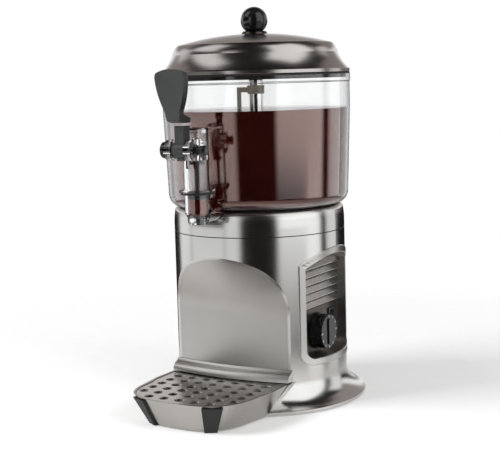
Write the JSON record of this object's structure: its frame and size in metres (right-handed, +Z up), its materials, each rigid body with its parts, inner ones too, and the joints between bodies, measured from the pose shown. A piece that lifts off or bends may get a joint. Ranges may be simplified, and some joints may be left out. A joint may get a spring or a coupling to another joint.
{
  "type": "hot chocolate dispenser",
  "caption": "Counter-top heated drink dispenser with clear bowl, stirrer, lever piston tap, cup niche, side panel with louvres and dial, lift-off lid and drip tray.",
  "frame": {"origin": "centre of the outline on the counter, at the level the machine stands on; the body's axis stands at Y = +38.75 mm", "axes": "+Z up, -Y to the front where the tap and drip tray are, +X to the side with the louvres and dial"},
  "size_m": [0.247, 0.3244, 0.4593],
  "materials": {
    "satin_steel": "satin",
    "lid_steel": "polished",
    "bright_steel": "bright",
    "clear_plastic": "clear moulded",
    "black_gloss": "gloss",
    "black_satin": "satin moulded",
    "black_rubber": "matte",
    "cream_plastic": "satin",
    "heater_aluminium": "cast and turned",
    "motor_metal": "plain",
    "bush_bronze": "plain"
  },
  "bodies": {
    "base": {"base_shell": "satin_steel", "top_ring": "satin_steel", "seam_gasket": "black_rubber", "bottom_cover": "black_satin", "rubber_feet": "black_rubber", "cover_screws": "bright_steel", "niche_apron": "satin_steel", "panel_frame": "bright_steel", "louvres": "satin_steel", "vent_backing": "satin_steel", "thermostat_body": "cream_plastic", "switch_housing": "black_satin", "motor_bracket": "satin_steel", "gear_motor": "motor_metal", "heating_plate": "heater_aluminium", "column_tube": "bright_steel", "shaft_bushes": "bush_bronze", "column_seal": "black_rubber", "bowl_gasket": "black_rubber", "bowl": "clear_plastic", "tap_barrel": "clear_plastic", "barrel_seal": "black_rubber", "barrel_cap": "clear_plastic", "hinge_pin": "black_gloss", "pin_nut": "black_gloss", "piston_spring": "bright_steel", "cable_gland": "black_satin"},
    "dial": {"thermostat_dial": "black_gloss", "thermostat_spindle": "bright_steel"},
    "rocker": {"switch_rocker": "black_gloss"},
    "stirrer": {"drive_shaft": "bright_steel", "stirrer_sleeve": "cream_plastic", "stirrer_blades": "cream_plastic"},
    "piston": {"piston": "black_satin", "piston_seals": "black_rubber"},
    "lever": {"tap_lever": "black_satin", "lever_band": "bright_steel"},
    "lid": {"lid_shell": "lid_steel", "lid_seal": "black_rubber", "knob_collar": "lid_steel", "lid_knob": "black_gloss", "knob_screw": "bright_steel"},
    "tray": {"drip_tray": "satin_steel", "tray_strips": "black_rubber"},
    "grille": {"drip_grille": "satin_steel"}
  },
  "joints": [
    {"name": "lid_lift", "type": "slide", "parent": "base", "child": "lid", "axis": [0, 0, 1], "range_m": [0, 0.08]},
    {"name": "lever_hinge", "type": "hinge", "parent": "base", "child": "lever", "pos_m": [0, -0.12225, 0.302], "axis": [1, 0, 0], "range_deg": [0, 25], "stiffness_Nm_per_rad": 0.8, "springref_deg": -20.05},
    {"name": "piston_slide", "type": "slide", "parent": "base", "child": "piston", "axis": [0, 0, 1], "range_m": [0, 0.0127], "deforming": ["piston_spring"]},
    {"name": "dial_turn", "type": "hinge", "parent": "base", "child": "dial", "pos_m": [0.0758, 0.03875, 0.0792], "axis": [1, 0, 0], "range_deg": [0, 270]},
    {"name": "rocker_tilt", "type": "hinge", "parent": "base", "child": "rocker", "pos_m": [0.0718, 0.07475, 0.09], "axis": [0, 1, 0], "range_deg": [0, 10]},
    {"name": "stirrer_spin", "type": "hinge", "parent": "base", "child": "stirrer", "pos_m": [0, 0.03875, 0.3], "axis": [0, 0, 1], "continuous": true},
    {"name": "tray_slide", "type": "slide", "parent": "base", "child": "tray", "axis": [0, -1, 0], "range_m": [0, 0.08]},
    {"name": "grille_lift", "type": "slide", "parent": "tray", "child": "grille", "axis": [0, 0, 1], "range_m": [0, 0.04]}
  ],
  "couplings": [
    {"joint": "piston_slide", "follows": "lever_hinge", "m_per_rad": 0.028785}
  ]
}
